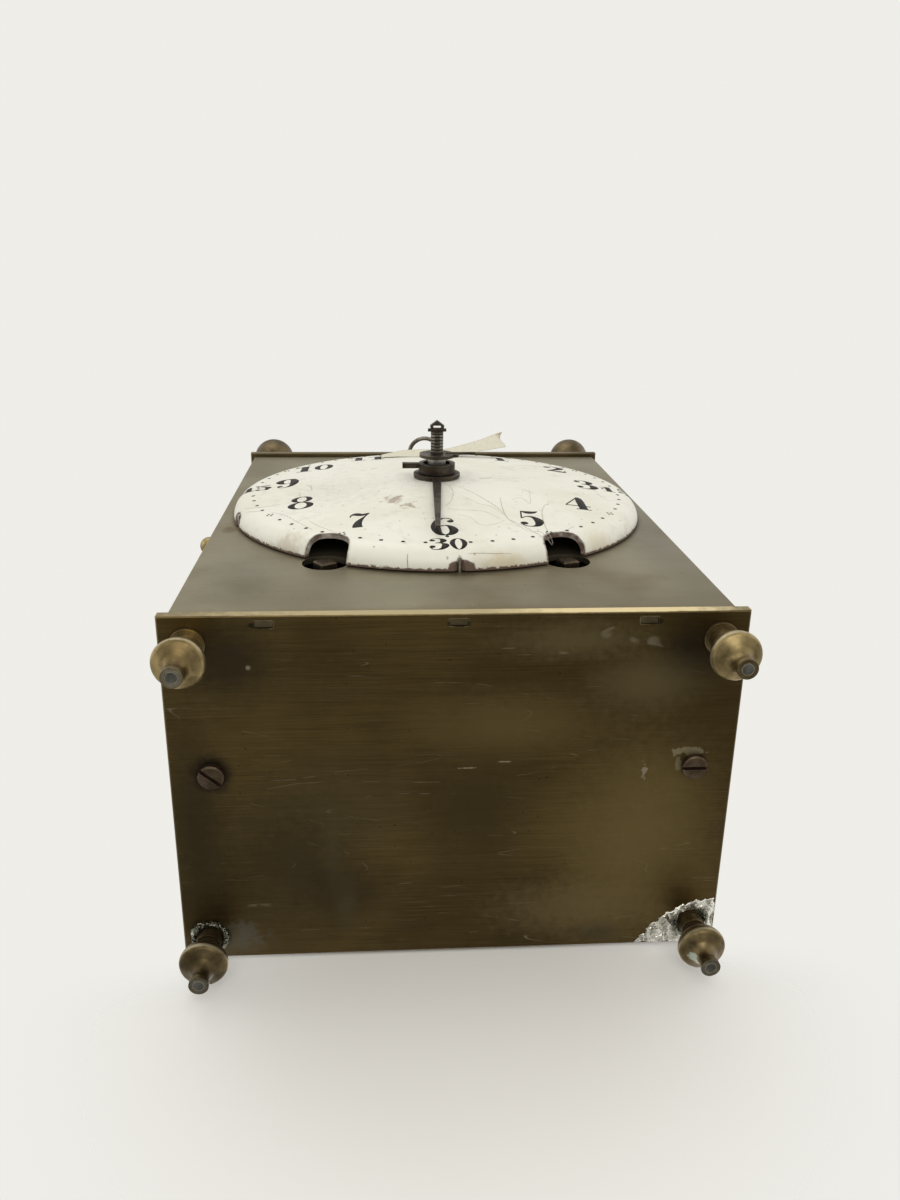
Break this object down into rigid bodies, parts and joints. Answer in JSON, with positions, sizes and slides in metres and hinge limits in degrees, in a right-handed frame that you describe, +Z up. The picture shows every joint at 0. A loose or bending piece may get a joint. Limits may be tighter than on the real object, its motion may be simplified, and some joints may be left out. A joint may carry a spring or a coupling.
{
  "type": "lantern clock",
  "caption": "Small brass lantern clock on turned feet, with a domed enamel dial, side doors, a two-train movement with pendulum, and a bell on top.",
  "frame": {"origin": "on the supporting surface, in the middle between the four feet", "axes": "+Z up, -Y towards the viewer of the dial, +X to the right of the dial seen from the front"},
  "size_m": [0.142, 0.1193, 0.227],
  "materials": {
    "case_brass": "worn and tarnished, brushed",
    "front_brass": "dull, brushed",
    "turned_brass": "worn bright",
    "wheel_brass": "satin",
    "enamel": "fired white enamel on copper",
    "iron": "dark forged iron",
    "hand_steel": "dark worn steel",
    "steel": "polished steel",
    "bell_metal": "turned bell metal",
    "spring_steel": "blued and polished"
  },
  "bodies": {
    "case": {"base_plate": "case_brass", "top_plate": "case_brass", "corner_pillars": "turned_brass", "tie_rods": "iron", "front_plate": "front_brass", "back_plate": "case_brass", "seat_screws": "iron", "loop_eyes": "iron", "dial": "enamel", "dial_pins": "steel", "bell": "bell_metal", "bell_post": "steel", "bell_nut": "steel", "movement_front_plate": "wheel_brass", "movement_back_plate": "wheel_brass", "movement_pillars": "wheel_brass", "pillar_pins": "iron", "back_cock": "wheel_brass", "foot_front_left": "turned_brass", "foot_front_right": "turned_brass", "foot_back_left": "turned_brass", "foot_back_right": "turned_brass", "finial_front_left": "turned_brass", "finial_front_right": "turned_brass", "finial_back_left": "turned_brass", "finial_back_right": "turned_brass"},
    "left_door": {"door_left": "case_brass", "knob_left": "turned_brass"},
    "right_door": {"door_right": "case_brass", "knob_right": "turned_brass"},
    "top_loop": {"hanging_loop": "iron"},
    "minute_body": {"centre_arbor": "hand_steel", "centre_wheel": "wheel_brass", "cannon_pinion": "steel", "minute_hand": "hand_steel", "hand_collar": "hand_steel", "hand_pin": "hand_steel"},
    "hour_body": {"hour_wheel": "wheel_brass", "hour_hand": "hand_steel"},
    "minute_wheel_body": {"minute_wheel": "wheel_brass"},
    "second_body": {"second_wheel": "wheel_brass", "second_arbor": "steel"},
    "third_body": {"third_wheel": "wheel_brass", "third_arbor": "steel"},
    "escape_body": {"escape_wheel": "wheel_brass", "escape_arbor": "steel"},
    "going_barrel_body": {"going_barrel": "wheel_brass"},
    "going_winding_body": {"going_winding_arbor": "steel"},
    "going_click_body": {"going_click": "spring_steel"},
    "strike_barrel_body": {"strike_barrel": "wheel_brass"},
    "strike_winding_body": {"strike_winding_arbor": "steel"},
    "strike_click_body": {"strike_click": "spring_steel"},
    "pin_wheel_body": {"pin_wheel": "wheel_brass", "pin_wheel_arbor": "steel"},
    "locking_body": {"locking_wheel": "wheel_brass"},
    "fly_body": {"fly": "steel"},
    "hammer_body": {"hammer": "steel"},
    "anchor_body": {"anchor": "steel"},
    "pendulum_body": {"pendulum_rod": "steel", "pendulum_bob": "wheel_brass"}
  },
  "joints": [
    {"name": "left_door_hinge", "type": "hinge", "parent": "case", "child": "left_door", "pos_m": [-0.0648, 0.0434, 0.10752], "axis": [0, 0, 1], "range_deg": [-120, 0]},
    {"name": "right_door_hinge", "type": "hinge", "parent": "case", "child": "right_door", "pos_m": [0.0648, 0.0434, 0.10752], "axis": [0, 0, 1], "range_deg": [0, 120]},
    {"name": "loop_hinge", "type": "hinge", "parent": "case", "child": "top_loop", "pos_m": [0, -0.042, 0.19873], "axis": [-1, 0, 0], "range_deg": [0, 110]},
    {"name": "minute_turn", "type": "hinge", "parent": "case", "child": "minute_body", "pos_m": [0, 0, 0.113], "axis": [0, 1, 0], "continuous": true},
    {"name": "hour_turn", "type": "hinge", "parent": "case", "child": "hour_body", "pos_m": [0, 0, 0.113], "axis": [0, 1, 0], "continuous": true},
    {"name": "minute_wheel_turn", "type": "hinge", "parent": "case", "child": "minute_wheel_body", "pos_m": [-0.018, 0, 0.113], "axis": [0, 1, 0], "continuous": true},
    {"name": "second_turn", "type": "hinge", "parent": "case", "child": "second_body", "pos_m": [0.02164, 0, 0.09019], "axis": [0, 1, 0], "continuous": true},
    {"name": "third_turn", "type": "hinge", "parent": "case", "child": "third_body", "pos_m": [0.00802, 0, 0.13642], "axis": [0, 1, 0], "continuous": true},
    {"name": "escape_turn", "type": "hinge", "parent": "case", "child": "escape_body", "pos_m": [0.00003, 0, 0.15453], "axis": [0, 1, 0], "continuous": true},
    {"name": "going_barrel_turn", "type": "hinge", "parent": "case", "child": "going_barrel_body", "pos_m": [0.032, 0, 0.06], "axis": [0, 1, 0], "continuous": true},
    {"name": "going_winding_turn", "type": "hinge", "parent": "case", "child": "going_winding_body", "pos_m": [0.032, 0, 0.06], "axis": [0, 1, 0], "continuous": true},
    {"name": "going_click_lift", "type": "hinge", "parent": "case", "child": "going_click_body", "pos_m": [0.03925, 0, 0.07256], "axis": [0, 1, 0], "range_deg": [-12, 0]},
    {"name": "strike_barrel_turn", "type": "hinge", "parent": "case", "child": "strike_barrel_body", "pos_m": [-0.032, 0, 0.06], "axis": [0, 1, 0], "continuous": true},
    {"name": "strike_winding_turn", "type": "hinge", "parent": "case", "child": "strike_winding_body", "pos_m": [-0.032, 0, 0.06], "axis": [0, 1, 0], "continuous": true},
    {"name": "strike_click_lift", "type": "hinge", "parent": "case", "child": "strike_click_body", "pos_m": [-0.02475, 0, 0.07256], "axis": [0, 1, 0], "range_deg": [-12, 0]},
    {"name": "pin_wheel_turn", "type": "hinge", "parent": "case", "child": "pin_wheel_body", "pos_m": [-0.034, 0, 0.09186], "axis": [0, 1, 0], "continuous": true},
    {"name": "locking_turn", "type": "hinge", "parent": "case", "child": "locking_body", "pos_m": [-0.03006, 0, 0.11675], "axis": [0, 1, 0], "continuous": true},
    {"name": "fly_turn", "type": "hinge", "parent": "case", "child": "fly_body", "pos_m": [-0.03816, 0, 0.13078], "axis": [0, 1, 0], "continuous": true},
    {"name": "hammer_lift", "type": "hinge", "parent": "case", "child": "hammer_body", "pos_m": [-0.05, 0, 0.143], "axis": [0, 1, 0], "range_deg": [-8, 0]},
    {"name": "anchor_rock", "type": "hinge", "parent": "case", "child": "anchor_body", "pos_m": [0.00003, 0, 0.17803], "axis": [0, 1, 0], "range_deg": [-3, 3]},
    {"name": "pendulum_swing", "type": "hinge", "parent": "case", "child": "pendulum_body", "pos_m": [0.00003, 0, 0.17803], "axis": [0, 1, 0], "range_deg": [-3, 3]}
  ],
  "couplings": [
    {"joint": "second_turn", "follows": "minute_turn", "ratio": -0.2},
    {"joint": "going_barrel_turn", "follows": "minute_turn", "ratio": 0.033333},
    {"joint": "third_turn", "follows": "minute_turn", "ratio": -10},
    {"joint": "escape_turn", "follows": "minute_turn", "ratio": 100},
    {"joint": "minute_wheel_turn", "follows": "minute_turn", "ratio": -0.33333},
    {"joint": "hour_turn", "follows": "minute_turn", "ratio": 0.083333},
    {"joint": "locking_turn", "follows": "pin_wheel_turn", "ratio": -6},
    {"joint": "fly_turn", "follows": "pin_wheel_turn", "ratio": 48},
    {"joint": "strike_barrel_turn", "follows": "pin_wheel_turn", "ratio": -0.16667},
    {"joint": "anchor_rock", "follows": "pendulum_swing", "ratio": 1}
  ]
}
